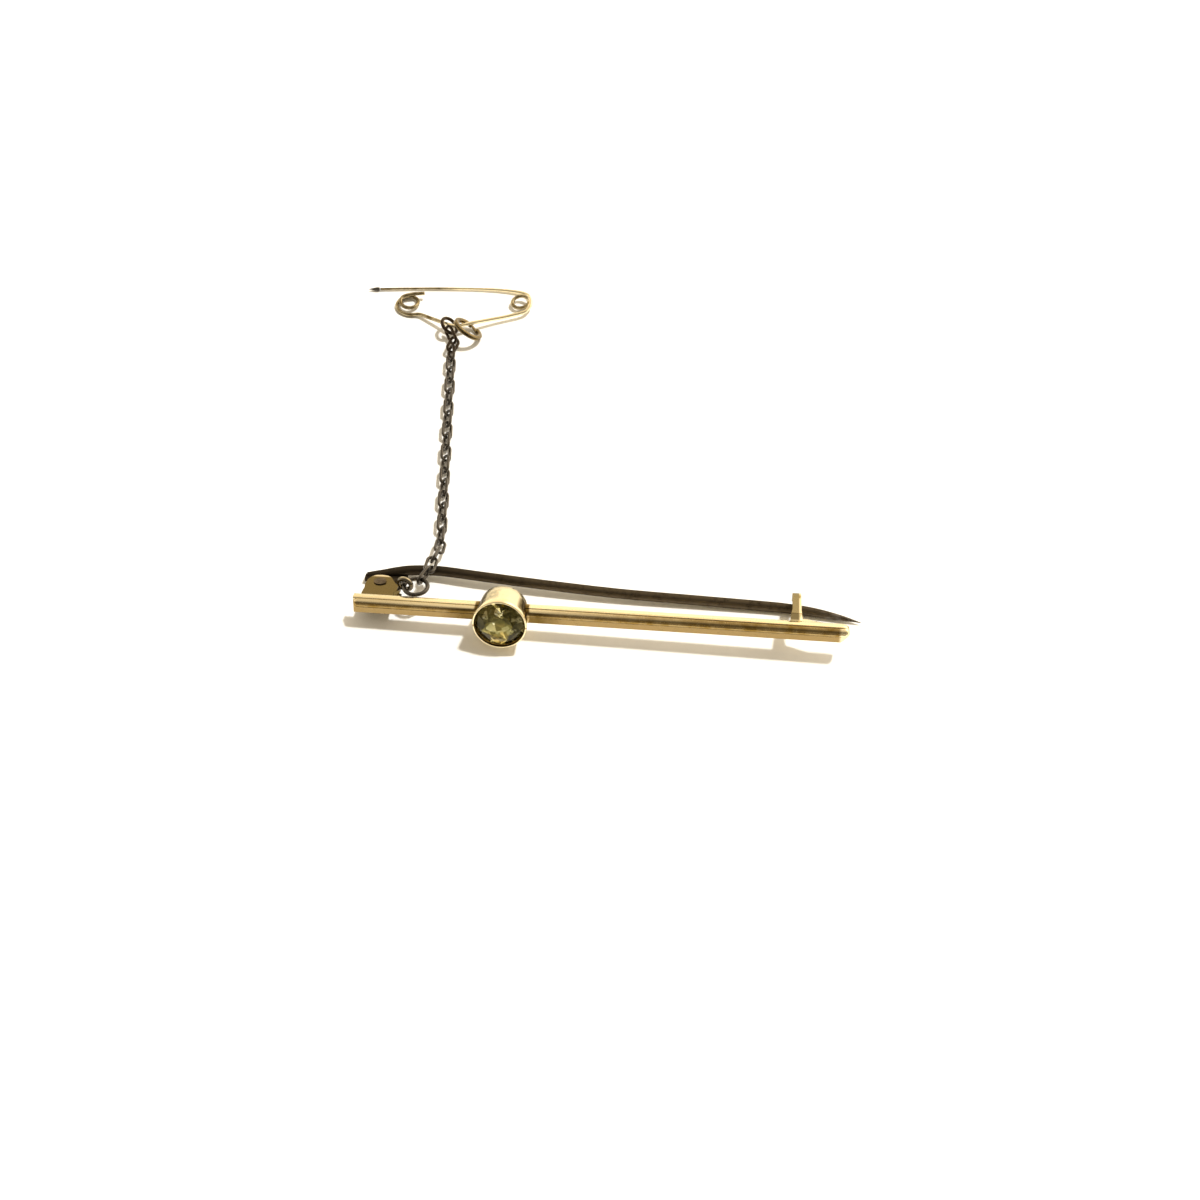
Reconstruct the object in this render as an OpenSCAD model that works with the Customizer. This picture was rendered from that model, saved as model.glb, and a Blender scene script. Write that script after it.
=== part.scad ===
// Bar brooch with a round collet-set stone, a hinged pin and a safety chain, lying on a table.
// Millimetres, +Z up, the table is z = 0, the stone looks towards -Y and upwards.
// Brooch coordinates: x along the bar, y up across its face, z out of the stone's table.

/* [Bar] */
// Length of the bar
bar_l = 50; // [48:0.5:52]
// Height of the flat strip across its face
bar_h = 1.8; // [1.6:0.1:2.2]
// Thickness of the flat strip
bar_t = 0.7; // [0.6:0.05:0.9]
// Diameter of the half-round rib along the front
rib_d = 1; // [0.9:0.02:1.1]
// Height of the rib's middle above the strip's middle
rib_up = 0.3; // [0.2:0.02:0.36]

/* [Collet and stone] */
// Distance from the bar's left end to the stone's axis
stone_x = 15.2; // [13.2:0.25:30]
// Outer diameter of the collet at its front rim
collet_front_d = 5.5; // [5.4:0.1:6]
// Outer diameter of the collet at its back
collet_back_d = 4.8; // [4.6:0.1:5]
// Depth of the collet from rim to back
collet_depth = 3.55; // [3.4:0.05:3.7]
// How far the rim stands in front of the strip's middle
collet_reach = 2.5; // [2.4:0.05:2.6]
// Wall of the collet at the rim
collet_wall = 0.16; // [0.14:0.01:0.2]
// Width of the stone's table as a share of its diameter
table_share = 0.54; // [0.5:0.01:0.6]

/* [Hinge] */
// Distance from the bar's left end to the rivet
rivet_x = 2.1; // [2.06:0.01:2.14]
// Distance from the strip's middle back to the rivet
rivet_back = 3.2; // [3.16:0.01:3.22]
// Diameter of the rivet's shank
rivet_d = 0.8; // [0.6:0.05:0.9]
// Outer distance over the two ears
lug_w = 1.36; // [1.34:0.02:1.44]
// Thickness of one ear
ear_t = 0.38; // [0.3:0.02:0.38]

/* [Catch] */
// Distance from the bar's left end to the middle of the hook
catch_x = 44.7; // [44.3:0.1:45]
// Width of the hook's strip
catch_w = 0.9; // [0.7:0.05:1]
// Thickness of the hook's strip
catch_t = 0.4; // [0.3:0.02:0.42]

/* [Pin] */
// Diameter of the pin
pin_d = 1.05; // [0.9:0.01:1.06]
// Thickness of the flattened root between the ears
root_t = 0.5; // [0.4:0.02:0.5]

/* [Chain] */
// Wire of a chain link
link_wire = 0.33; // [0.3:0.01:0.34]
// Width over a chain link
link_w = 1.3; // [1.26:0.01:1.34]
// Outer diameter of the jump ring at the hinge
ring_d = 2.82; // [2.8:0.01:2.84]
// Wire of the jump ring at the hinge
ring_wire = 0.42; // [0.38:0.01:0.44]

/* [Safety pin] */
// Wire of the safety pin's body
safety_wire = 0.44; // [0.38:0.01:0.44]
// Wire of the split ring on the safety pin
split_wire = 0.56; // [0.5:0.01:0.58]

/* [Lie on the table] */
// Tilt of the stone's axis above the horizontal
lie_tilt = 23; // [22.5:0.1:23.5]
// Rise of the bar towards its right end
lie_incline = 1; // [0.8:0.1:1.2]

/* [Hidden] */
$fn = 48;
// Small overlap that joins solids of one piece
bite = 0.05;
// Running gap between loose pieces
gap = 0.1;

// Bar
strip_back = -bar_t / 2;
strip_front = bar_t / 2;
// The strip's right end, round about the rib's end: [short of the bar's end, up]
STRIP_END = [
    [0.8, -bar_h / 2], [0.4, -0.5], [0.12, -0.12], [0.02, 0.25], [0.1, 0.6], [0.35, 0.8],
    [0.75, bar_h / 2],
];

// Collet: z of its rim and back, the seat of the stone
rim_z = collet_reach;
back_z = collet_reach - collet_depth;
stone_d = collet_front_d - 2 * collet_wall - 0.14;
girdle_z = rim_z - 0.32;
girdle_t = 0.12;
seat_z = girdle_z - girdle_t - 0.06;
seat_d = stone_d - 0.5;
bore_d = collet_back_d - 0.7;

// Stone: heights of crown and pavilion, and where their facets meet between table and girdle
crown_h = 0.62;
pavilion_h = 1.95;
crown_meet = 0.76;
pavilion_meet = 0.3;
facets = 8;
// The seat slopes inwards as the pavilion does
inner_r = collet_front_d / 2 - collet_wall;
seat_low_z = seat_z - (inner_r - seat_d / 2) * pavilion_h / (stone_d / 2);

// Hinge: outline of an ear as [along the bar, distance behind the strip's middle]
EAR = [
    [0.87, 0.3], [0.8, 1.2], [0.66, 2.5], [0.75, 3.5], [1.05, 4.1], [1.5, 4.42], [2.1, 4.5],
    [2.7, 4.4], [3.15, 4.1], [3.45, 3.5], [3.8, 2.9], [4.4, 2.6], [4.4, 1.9], [3.85, 1.3],
    [3.9, 0.7], [4.1, 0.3],
];
ear_round_d = 2.5;
// The lower ear stops short of the table and reaches farther to the left
ear_low_back = 3.6;
ear_shift = 0.4;
rivet_play = 0.05;
rivet_seat = 0.02;
rivet_head_d = 1.3;
rivet_head_t = 0.08;
eye_turn = 165;
eye_wire = 0.5;
eye_bore = 0.84;

// Catch: the hook in the plane across the bar, as distances behind the strip's middle
hook_bend_back = 4.6;
hook_bend_up = 0.15;
hook_bend_r = 0.95;
hook_tip_up = 0;
hook_flare_l = 0.2;

// Pin: the middle line as [along, up, behind, radius] in brooch coordinates
PIN = [
    [0.4, 0.3, 4.95, 0.26], [1.2, 0.34, 5.08, 0.36], [2.2, 0.42, 5.26, 0.42],
    [3.2, 0.54, 5.44, 0.48], [4.4, 0.68, 5.6, 0.52], [5.6, 0.76, 5.7, pin_d / 2],
    [6.8, 0.8, 5.72, pin_d / 2], [8.5, 0.82, 5.66, pin_d / 2], [12, 0.7, 5.36, pin_d / 2],
    [18.6, 0.36, 5.04, pin_d / 2], [26.6, -0.07, 4.9, pin_d / 2], [34.6, -0.36, 5, pin_d / 2],
    [41.7, -0.61, 5.08, pin_d / 2], [44.4, -0.7, 5, 0.51], [46.6, -0.84, 4.84, 0.47],
    [48.4, -1.02, 4.66, 0.37], [49.8, -1.17, 4.48, 0.24], [50.8, -1.29, 4.34, 0.11],
    [51.4, -1.36, 4.24, 0.03],
];
// Pin: outline of the flattened root as [along the bar, distance behind the strip's middle]
ROOT = [
    [0.2, 4.5], [0.2, 5.3], [2.2, 5.4], [3.8, 5.45], [4.6, 5.35], [4.5, 5], [3.6, 4.6],
    [2.9, 3.7], [2.95, 3.2], [1.25, 3.2], [1.3, 3.8], [0.9, 4.4],
];
root_eye_d = 1.7;

// Jump ring at the hinge, in brooch coordinates
ring_x = 6.05;
ring_up = 1.13;
ring_back = 1.92;
// The ring leans on the bar, its far side higher across the brooch's face
ring_lean = 11;
ring_r = (ring_d - ring_wire) / 2;

// Chain: the first links cross over the pin and slope down, then the links lie along the table
link_l = 2.5;
link_count = 23;
// Middles of the links off the straight stretch, on the table's own axes from the bar's left end
chain_start = [7.5, 8.8];
chain_end = [5.03, 34.4];
link_a_z = 0.59;
link_b_z = 0.6;
roll_a = 34;
roll_b = -50;
// The loose links at both ends as [middle, turn about the vertical, rise, roll]
CROSSING = [
    [[6.6, 3.88, 2.45], 67, -6, 88], [[7.06, 5.48, 2.16], 86, -11, 9],
    [[7.3, 7.09, 1.72], 80, -22, -72], [[7.47, 8.66, 1.06], 90, -21, 29],
    [[7.32, 10.3, 0.66], 95, -5, -56],
];
TAIL = [[[4.88, 37.28, 0.67], 77, -5, 38], [[4.5, 38.53, 0.98], 121, 14, -54]];

// Safety pin: its wire's route from the bar's left end as [x, y, z, radius]
ARM_R = 0.13;
BODY_R = safety_wire / 2;
// Coils as [angle, radius, height] round their middles
RIGHT_MIDDLE = [11.67, 44.54];
RIGHT_COIL = [
    [80, 1.8, 0.36], [50, 1.62, 0.38], [20, 1.2, 0.4], [-20, 0.85, 0.42], [-70, 0.72, 0.46],
    [-120, 0.75, 0.5], [-170, 0.82, 0.56], [-220, 0.85, 0.64], [-265, 0.88, 0.76],
    [-305, 1.02, 0.86], [-340, 1.3, 0.9], [-375, 1.45, 0.86], [-405, 1.55, 0.78], [-430, 1.72, 0.72],
];
LEFT_MIDDLE = [-1.12, 43.4];
LEFT_COIL = [
    [-70, 1.62, 0.28], [-100, 1.42, 0.24], [-140, 1.38, 0.23], [-180, 1.4, 0.23],
    [-225, 1.42, 0.24], [-270, 1.4, 0.28], [-315, 1.25, 0.34], [-360, 0.98, 0.42],
    [-405, 0.8, 0.5], [-450, 0.72, 0.56], [-495, 0.78, 0.62], [-540, 0.95, 0.68], [-580, 1.1, 0.75],
];
function coil(middle, rows) = [for (row = rows)
    [middle[0] + row[1] * cos(row[0]), middle[1] + row[1] * sin(row[0]), row[2], BODY_R]];
SAFETY = concat(
    [[-4.85, 45.66, 0.26, ARM_R], [-0.5, 46.12, 0.26, ARM_R], [3.2, 46.44, 0.26, 0.14],
     [7.2, 46.66, 0.28, 0.16], [10, 46.62, 0.32, 0.19]],
    coil(RIGHT_MIDDLE, RIGHT_COIL),
    [[10.28, 42.08, 0.7, BODY_R], [9.29, 41.66, 0.78, BODY_R], [7.87, 41, 0.95, BODY_R],
     [6.56, 40.36, 1.14, BODY_R], [5.6, 39.88, 1.2, BODY_R], [4.8, 39.72, 1.18, BODY_R],
     [3.9, 40.02, 1.08, BODY_R], [3.0, 40.55, 0.88, BODY_R], [1.66, 41.28, 0.6, BODY_R],
     [0.38, 41.92, 0.38, BODY_R]],
    coil(LEFT_MIDDLE, LEFT_COIL),
    [[-1.3, 44.5, 0.81, BODY_R], [-0.4, 44.72, 0.84, BODY_R], [0.55, 44.85, 0.84, BODY_R]]
);
point_l = 1.35;
point_d = 0.46;

// Split ring on the safety pin's body
split_at = [6.4, 39.25, 1.34];
split_r = 1.55;
split_tilt = 42;
split_turn = 36;
// Round ring between the chain and the safety pin
end_ring_at = [4.17, 39.79, 1.11];
end_ring_r = 1;
end_ring_wire = 0.4;
end_ring_tilt = 39;
end_ring_turn = 5;

// Height of the bar's left end, so that the collet's back edge touches the table
lie_h = collet_back_d / 2 * cos(lie_tilt) * cos(lie_incline)
    - back_z * sin(lie_tilt) * cos(lie_incline) - stone_x * sin(lie_incline);
// Middle of the whole object's box, from its four outermost points
low_x = SAFETY[0][0] - point_l - 0.06;
high_x = on_table([51.4, -1.36, -4.24])[0] + 0.03;
low_y = -(rim_z - 0.03) * cos(lie_tilt) - (collet_front_d / 2 - 0.04) * sin(lie_tilt);
high_y = 46.66 + 0.2;
middle = [(low_x + high_x) / 2, (low_y + high_y) / 2, 0];

function unit(v) = v / norm(v);

// A point given in brooch coordinates, on the table's own axes from the bar's left end
function on_table(p) =
    let (
        y1 = p[1] * sin(lie_tilt) - p[2] * cos(lie_tilt),
        z1 = p[1] * cos(lie_tilt) + p[2] * sin(lie_tilt)
    )
    [p[0] * cos(lie_incline) - z1 * sin(lie_incline), y1,
     p[0] * sin(lie_incline) + z1 * cos(lie_incline) + lie_h];

// A smooth run through the rows of a route, with the given steps between rows
function between(a, b, c, d, t) =
    0.5 * (2 * b + (c - a) * t + (2 * a - 5 * b + 4 * c - d) * t * t
        + (3 * b - a - 3 * c + d) * t * t * t);
function smooth(route, steps) = concat(
    [for (i = [0 : len(route) - 2], k = [0 : steps - 1])
        between(route[max(i - 1, 0)], route[i], route[i + 1],
            route[min(i + 2, len(route) - 1)], k / steps)],
    [route[len(route) - 1]]
);

// The directions along a line of points, and one side direction carried along without twist
function xyz(p) = [p[0], p[1], p[2]];
function headings(line) = [for (i = [0 : len(line) - 1])
    unit(xyz(line[min(i + 1, len(line) - 1)]) - xyz(line[max(i - 1, 0)]))];
function squared(side, heading) = unit(side - (side * heading) * heading);
function sides(heading) = [
    for (i = 0, s = squared([0, 0, 1], heading[0]); i < len(heading);
        i = i + 1, s = i < len(heading) ? squared(s, heading[i]) : s) s];

// A round wire along rows of [x, y, z, radius]
module wire(line, faces) {
    heading = headings(line);
    side = sides(heading);
    count = len(line);
    points = [for (i = [0 : count - 1], k = [0 : faces - 1])
        xyz(line[i]) + line[i][3] * (cos(360 * k / faces) * side[i]
            + sin(360 * k / faces) * cross(heading[i], side[i]))];
    skin = [for (i = [0 : count - 2], k = [0 : faces - 1])
        [i * faces + k, (i + 1) * faces + k, (i + 1) * faces + (k + 1) % faces,
         i * faces + (k + 1) % faces]];
    start = [[for (k = [0 : faces - 1]) k]];
    end = [[for (k = [faces - 1 : -1 : 0]) (count - 1) * faces + k]];
    polyhedron(points, concat(skin, start, end), convexity = 6);
}

// Places children given from the bar's left end so that the part's origin is the box's middle
module placed() {
    translate(-middle) children();
}

// Places children given in brooch coordinates as the brooch lies on the table
module lying() {
    placed() translate([0, 0, lie_h]) rotate([0, -lie_incline, 0]) rotate([90 - lie_tilt, 0, 0])
        children();
}

// Turns an outline of [along the bar, behind the strip] into a plate across the brooch's y
module plate(low, high) {
    translate([0, high, 0]) rotate([90, 0, 0]) linear_extrude(high - low) mirror([0, 1])
        children();
}

// The half-round rib with its domed ends
module rib() {
    translate([rib_d / 2, rib_up, strip_front]) {
        rotate([0, 90, 0]) cylinder(h = bar_l - rib_d, d = rib_d);
        sphere(d = rib_d);
        translate([bar_l - rib_d, 0, 0]) sphere(d = rib_d);
    }
}

module bar() {
    translate([0, 0, strip_back]) linear_extrude(bar_t) polygon(concat(
        [[0, -bar_h / 2]], [for (p = STRIP_END) [bar_l - p[0], p[1]]], [[0, bar_h / 2]]
    ));
    rib();
}

module collet_body() {
    translate([stone_x, 0, 0]) rotate_extrude() polygon([
        [0, back_z], [collet_back_d / 2, back_z], [collet_front_d / 2, rim_z - 0.12],
        [collet_front_d / 2 - 0.04, rim_z - 0.03], [collet_front_d / 2 - 0.1, rim_z], [0, rim_z],
    ]);
}

module collet_hollow() {
    translate([stone_x, 0, 0]) rotate_extrude() polygon([
        [0, back_z - 1], [bore_d / 2, back_z - 1], [bore_d / 2, back_z],
        [seat_d / 2, seat_low_z], [inner_r, seat_z], [inner_r, rim_z + 1], [0, rim_z + 1],
    ]);
}

// Two soldered ears with the rivet's holes
module lug() {
    for (low = [-lug_w / 2, lug_w / 2 - ear_t])
        difference() {
            plate(low, low + ear_t) {
                translate([rivet_x, rivet_back]) circle(d = ear_round_d);
                if (low > 0) polygon(EAR);
                else intersection() {
                    for (shift = [0, ear_shift]) translate([-shift, 0]) polygon(EAR);
                    square([5, ear_low_back]);
                }
            }
            translate([rivet_x, 0, -rivet_back]) rotate([90, 0, 0])
                cylinder(h = 3, d = rivet_d + 2 * rivet_seat, center = true);
        }
    translate([0.9, -lug_w / 2, -0.5]) cube([3.1, lug_w, 0.5]);
}

// Places children given from the jump ring's middle, with the ring in their x-z plane
module at_ring() {
    translate([ring_x, ring_up, -ring_back]) rotate([ring_lean, 0, 0]) children();
}

// Small soldered eye that holds the jump ring
module eye() {
    at_ring() translate([ring_r * cos(eye_turn), 0, -ring_r * sin(eye_turn)])
        rotate([0, eye_turn - 180, 0])
        rotate_extrude() translate([(eye_bore + eye_wire) / 2, 0]) circle(d = eye_wire);
}

module hook_outline() {
    difference() {
        union() {
            translate([hook_bend_back, hook_bend_up]) circle(r = hook_bend_r + catch_t / 2);
            translate([1.2, hook_bend_up]) square([hook_bend_back - 1.2, hook_bend_r + catch_t / 2]);
            translate([hook_bend_back, hook_tip_up])
                square([hook_bend_r + catch_t / 2, hook_bend_up - hook_tip_up + bite]);
        }
        translate([hook_bend_back, hook_bend_up]) circle(r = hook_bend_r - catch_t / 2);
        translate([0, hook_tip_up - 2])
            square([hook_bend_back, 2 + hook_bend_up - hook_tip_up + hook_bend_r - catch_t / 2]);
        translate([hook_bend_back - 2, hook_tip_up - 4]) square([4, 4]);
        translate([hook_bend_back - bite, hook_tip_up - bite])
            square([hook_bend_r - catch_t / 2 + bite, hook_bend_up - hook_tip_up + 2 * bite]);
    }
    hook_top = hook_bend_up + hook_bend_r + catch_t / 2;
    polygon([[0.25, 0.1], [0.25, 0.7], [1.3, hook_top], [1.5, hook_top],
        [1.5, hook_top - catch_t], [0.75, 0.35], [0.6, 0.1]]);
}

// The catch: a strip that rises behind the bar and bends down behind the pin
module catch_hook() {
    intersection() {
        translate([catch_x - 3, 0, 0]) rotate([90, 0, 90]) linear_extrude(6)
            rotate([0, 0, -90]) hook_outline();
        plate(-2, 2) {
            translate([catch_x - catch_w / 2, 0]) square([catch_w, 8]);
            polygon([[catch_x - catch_w / 2 - hook_flare_l, 0], [catch_x + 0.6, 0],
                [catch_x + 0.54, 0.7], [catch_x + catch_w / 2, 1.6], [catch_x - catch_w / 2, 2],
                [catch_x - catch_w / 2 - 0.12, 1.1], [catch_x - catch_w / 2 - hook_flare_l, 0.6]]);
        }
    }
}

// The catch's solder base runs out behind the strip towards the right
module catch_base() {
    plate(-0.2, bar_h / 2 - 0.05)
        polygon([[catch_x + 0.1, 0.25], [catch_x + 0.1, 0.8], [catch_x + 0.9, 0.88],
            [catch_x + 1.7, 0.65], [catch_x + 2.8, 0.4], [catch_x + 2.8, 0.25]]);
}

module brooch_frame() {
    color("goldenrod") lying() {
        difference() {
            union() {
                bar();
                collet_body();
            }
            collet_hollow();
        }
        lug();
        eye();
        catch_hook();
        catch_base();
    }
}

// Round brilliant: table, stars, kites and halves above the girdle, mains and halves below it
module stone() {
    r = stone_d / 2;
    table_r = r * table_share;
    step = 360 / facets;
    // A ring of points, half a step round if turned, and the flat facets' height at their meets
    function round_at(radius, z, turned) = [for (k = [0 : facets - 1])
        let (a = step * (k + (turned ? 0.5 : 0))) [radius * cos(a), radius * sin(a), z]];
    crown_z = crown_h * (r - r * crown_meet * cos(step / 2)) / (r - table_r);
    pavilion_z = -girdle_t - pavilion_h * (1 - pavilion_meet * cos(step / 2));
    points = concat(
        round_at(table_r, crown_h, false), round_at(r * crown_meet, crown_z, true),
        round_at(r, 0, false), round_at(r, 0, true),
        round_at(r, -girdle_t, false), round_at(r, -girdle_t, true),
        round_at(r * pavilion_meet, pavilion_z, true), [[0, 0, -girdle_t - pavilion_h]]
    );
    function at(row, k) = row * facets + (k + facets) % facets;
    culet = 7 * facets;
    color("olivedrab") lying() translate([stone_x, 0, girdle_z])
        polyhedron(points, concat(
            [[for (k = [facets - 1 : -1 : 0]) at(0, k)]],
            [for (k = [0 : facets - 1]) [at(0, k), at(0, k + 1), at(1, k)]],
            [for (k = [0 : facets - 1]) [at(0, k), at(1, k), at(2, k), at(1, k - 1)]],
            [for (k = [0 : facets - 1]) [at(1, k), at(3, k), at(2, k)]],
            [for (k = [0 : facets - 1]) [at(1, k), at(2, k + 1), at(3, k)]],
            [for (k = [0 : facets - 1]) [at(2, k), at(3, k), at(5, k), at(4, k)]],
            [for (k = [0 : facets - 1]) [at(3, k), at(2, k + 1), at(4, k + 1), at(5, k)]],
            [for (k = [0 : facets - 1]) [at(4, k), at(5, k), at(6, k)]],
            [for (k = [0 : facets - 1]) [at(5, k), at(4, k + 1), at(6, k)]],
            [for (k = [0 : facets - 1]) [at(4, k), at(6, k), culet, at(6, k - 1)]]
        ));
}

module hinge_rivet() {
    color("tan") lying() translate([rivet_x, 0, -rivet_back]) rotate([90, 0, 0]) {
        cylinder(h = lug_w + 2 * rivet_seat + 2 * bite, d = rivet_d, center = true);
        for (side = [0, 1])
            mirror([0, 0, side]) translate([0, 0, lug_w / 2 + rivet_seat])
                cylinder(h = rivet_head_t, d = rivet_head_d);
    }
}

module pin_stem() {
    color("dimgray") lying() {
        difference() {
            plate(-root_t / 2, root_t / 2) {
                polygon(ROOT);
                translate([rivet_x, rivet_back]) circle(d = root_eye_d);
            }
            translate([rivet_x, 0, -rivet_back]) rotate([90, 0, 0])
                cylinder(h = 2, d = rivet_d + 2 * rivet_play, center = true);
        }
        wire([for (p = smooth(PIN, 3)) [p[0], p[1], -p[2], p[3]]], 16);
    }
}

module jump_ring() {
    color("gray") lying() at_ring() rotate([90, 0, 0])
        rotate_extrude() translate([ring_r, 0]) circle(d = ring_wire);
}

// One link: two half rings and two straight wires
module link() {
    mean_w = link_w - link_wire;
    straight = link_l - link_w;
    for (side = [0, 1])
        rotate([0, 0, 180 * side]) {
            translate([straight / 2, 0, 0]) rotate([0, 0, -90])
                rotate_extrude(angle = 180) translate([mean_w / 2, 0]) circle(d = link_wire);
            translate([-straight / 2, mean_w / 2, 0]) rotate([0, 90, 0])
                cylinder(h = straight, d = link_wire);
        }
}

// A link's middle, turn about the vertical, rise and roll
function table_middle(k) =
    [for (axis = [0, 1]) chain_start[axis] + (chain_end[axis] - chain_start[axis]) * k / 16];
table_turn = atan2(chain_end[1] - chain_start[1], chain_end[0] - chain_start[0]);
function table_row(k) =
    let (m = table_middle(k - 4), even = k % 2 == 0)
    [[m[0], m[1], even ? link_a_z : link_b_z], table_turn, 0,
     (even ? roll_a : roll_b) + 5 * sin(k * 77)];
function link_row(k) =
    k <= len(CROSSING) ? CROSSING[k - 1]
    : k <= link_count - len(TAIL) ? table_row(k) : TAIL[k - link_count + len(TAIL) - 1];

module chain_link(k) {
    row = link_row(k);
    color("dimgray") placed() translate(row[0]) rotate([row[3], -row[2], row[1]]) link();
}

module chain_end_ring() {
    color("dimgray") placed() translate(end_ring_at) rotate([0, end_ring_tilt, end_ring_turn])
        rotate_extrude() translate([end_ring_r, 0]) circle(d = end_ring_wire);
}

module split_ring() {
    color("darkgoldenrod") placed() translate(split_at) rotate([0, split_tilt, split_turn])
        rotate_extrude() translate([split_r, 0]) circle(d = split_wire);
}

module safety_pin() {
    color("gold") placed() wire(smooth(SAFETY, 3), 8);
}

// The steel point, sleeved over the end of the wire
module safety_pin_point() {
    from = xyz(SAFETY[0]);
    back = unit(from - xyz(SAFETY[1]));
    color("dimgray") placed() translate(from + 0.06 * back) rotate([0, 90, atan2(back[1], back[0])])
        rotate_extrude() polygon([[0, 0], [0.17, 0], [point_d / 2, 0.2], [0.17, 0.62], [0, point_l]]);
}

brooch_frame();
stone();
hinge_rivet();
pin_stem();
jump_ring();
for (k = [1 : link_count])
    chain_link(k);
chain_end_ring();
split_ring();
safety_pin();
safety_pin_point();
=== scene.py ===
"""Finishes, finer pieces, floor, light and camera for a bar brooch with a safety chain."""
import logging
import math
from dataclasses import dataclass
from enum import Enum

import bmesh
import bpy
from mathutils import Matrix, Quaternion, Vector


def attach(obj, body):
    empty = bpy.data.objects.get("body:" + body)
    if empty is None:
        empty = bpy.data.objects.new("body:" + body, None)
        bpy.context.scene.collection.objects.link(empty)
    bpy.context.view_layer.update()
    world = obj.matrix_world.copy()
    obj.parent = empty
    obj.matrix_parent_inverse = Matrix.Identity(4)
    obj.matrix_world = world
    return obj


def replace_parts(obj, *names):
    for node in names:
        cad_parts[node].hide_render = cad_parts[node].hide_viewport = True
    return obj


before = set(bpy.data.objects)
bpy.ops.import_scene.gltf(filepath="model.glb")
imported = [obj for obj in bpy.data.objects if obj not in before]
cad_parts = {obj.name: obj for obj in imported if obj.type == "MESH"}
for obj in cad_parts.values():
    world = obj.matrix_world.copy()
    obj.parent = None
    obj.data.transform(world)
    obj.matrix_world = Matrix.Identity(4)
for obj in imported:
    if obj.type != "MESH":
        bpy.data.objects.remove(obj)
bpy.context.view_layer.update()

MM = 0.001
LOG = logging.getLogger("bar_brooch")
Colour = tuple[float, float, float]
Paint = tuple[float, float, float, float]
Spot = tuple[float, float, float]
Socket = bpy.types.NodeSocket
Value = Socket | float
Places = dict[str, Socket]


class Body(Enum):
    """The two bodies of the brooch that pieces ride on."""

    BROOCH = "brooch"
    PIN = "pin"


class Finish(Enum):
    """The record's material slots, one for each finish."""

    GOLD = "gold"
    STONE = "stone"
    RIVET_GOLD = "rivet_gold"
    PIN_STEEL = "pin_steel"
    DARK_SILVER = "dark_silver"
    RING_GOLD = "ring_gold"
    PIN_GOLD = "pin_gold"
    POINT_STEEL = "point_steel"


@dataclass(frozen=True)
class Attitude:
    """How the brooch lies: its own axes and the bar's left end in the part's frame.

    Args:
        tilt: Tilt of the stone's axis above the horizontal, in degrees.
        incline: Rise of the bar towards the catch, in degrees.
        left_end: The bar's left end, in millimetres.
    """

    tilt: float = 23.0
    incline: float = 1.0
    left_end: Spot = (-22.6065, -21.7637, 2.3538)

    def turned(self, direction: Vector) -> Vector:
        """Returns a direction given in brooch axes in the part's frame."""
        lean = Matrix.Rotation(math.radians(90 - self.tilt), 3, "X")
        rise = Matrix.Rotation(math.radians(-self.incline), 3, "Y")
        return rise @ lean @ direction

    def along(self) -> Vector:
        """Returns the direction along the bar towards the catch."""
        return self.turned(Vector((1, 0, 0)))

    def up(self) -> Vector:
        """Returns the direction across the brooch's face."""
        return self.turned(Vector((0, 1, 0)))

    def out(self) -> Vector:
        """Returns the direction out of the stone's table."""
        return self.turned(Vector((0, 0, 1)))


ATTITUDE = Attitude()


class Graph:
    """Adds and links nodes in one node tree."""

    def __init__(self, tree: bpy.types.NodeTree) -> None:
        """Keeps the tree and its nodes.

        Args:
            tree: The material's, world's or group's node tree.
        """
        self.tree = tree
        self.nodes = tree.nodes

    def add(self, kind: str, inputs: dict | None = None, **settings) -> bpy.types.Node:
        """Adds a node.

        Args:
            kind: Blender's name of the node type, without its ShaderNode prefix.
            inputs: Input names or numbers, with a value or a socket to link for each.
            **settings: Attributes to set on the node before its inputs.

        Returns:
            The new node.
        """
        node = self.nodes.new("ShaderNode" + kind)
        for name, value in settings.items():
            setattr(node, name, value)
        for name, value in (inputs or {}).items():
            socket = node.inputs[name]
            if isinstance(value, Socket):
                self.tree.links.new(value, socket)
            else:
                socket.default_value = value
        return node

    def maths(self, operation: str, *values: Value, clamp: bool = False) -> Socket:
        """Adds a Math node on the given values or sockets and returns its output."""
        inputs = dict(enumerate(values))
        return self.add("Math", inputs, operation=operation, use_clamp=clamp).outputs[0]

    def product(self, first: Value, *others: Value) -> Value:
        """Multiplies values or sockets and returns the product."""
        for other in others:
            first = self.maths("MULTIPLY", first, other)
        return first

    def ramp(self, value: Socket, low: float, high: float, to_low: float = 0.0,
             to_high: float = 1.0) -> Socket:
        """Maps a value smoothly from one range to another.

        Args:
            value: The socket to map.
            low: Where the ramp starts.
            high: Where the ramp ends.
            to_low: Result at and below low.
            to_high: Result at and above high.

        Returns:
            The mapped value's socket.
        """
        inputs = {"Value": value, "From Min": low, "From Max": high,
                  "To Min": to_low, "To Max": to_high}
        return self.add("MapRange", inputs, interpolation_type="SMOOTHSTEP").outputs["Result"]

    def blend(self, share: Socket, first: Socket | Paint, second: Socket | Paint) -> Socket:
        """Mixes two colours by a share and returns the result."""
        node = self.add("Mix", {0: share, 6: first, 7: second}, data_type="RGBA")
        return node.outputs[2]

    def noise(self, vector: Socket, scale: Value, detail: float = 3.0,
              rough: float = 0.55) -> Socket:
        """Adds noise at a scale in waves a metre and returns its value."""
        inputs = {"Vector": vector, "Scale": scale, "Detail": detail, "Roughness": rough}
        return self.add("TexNoise", inputs).outputs["Fac"]

    def place(self) -> Socket:
        """Returns the point on the piece, in metres in its own frame."""
        return self.add("TexCoord").outputs["Object"]


def rgba(colour: Colour) -> Paint:
    """Returns a colour with full alpha."""
    return (*colour, 1.0)


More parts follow.
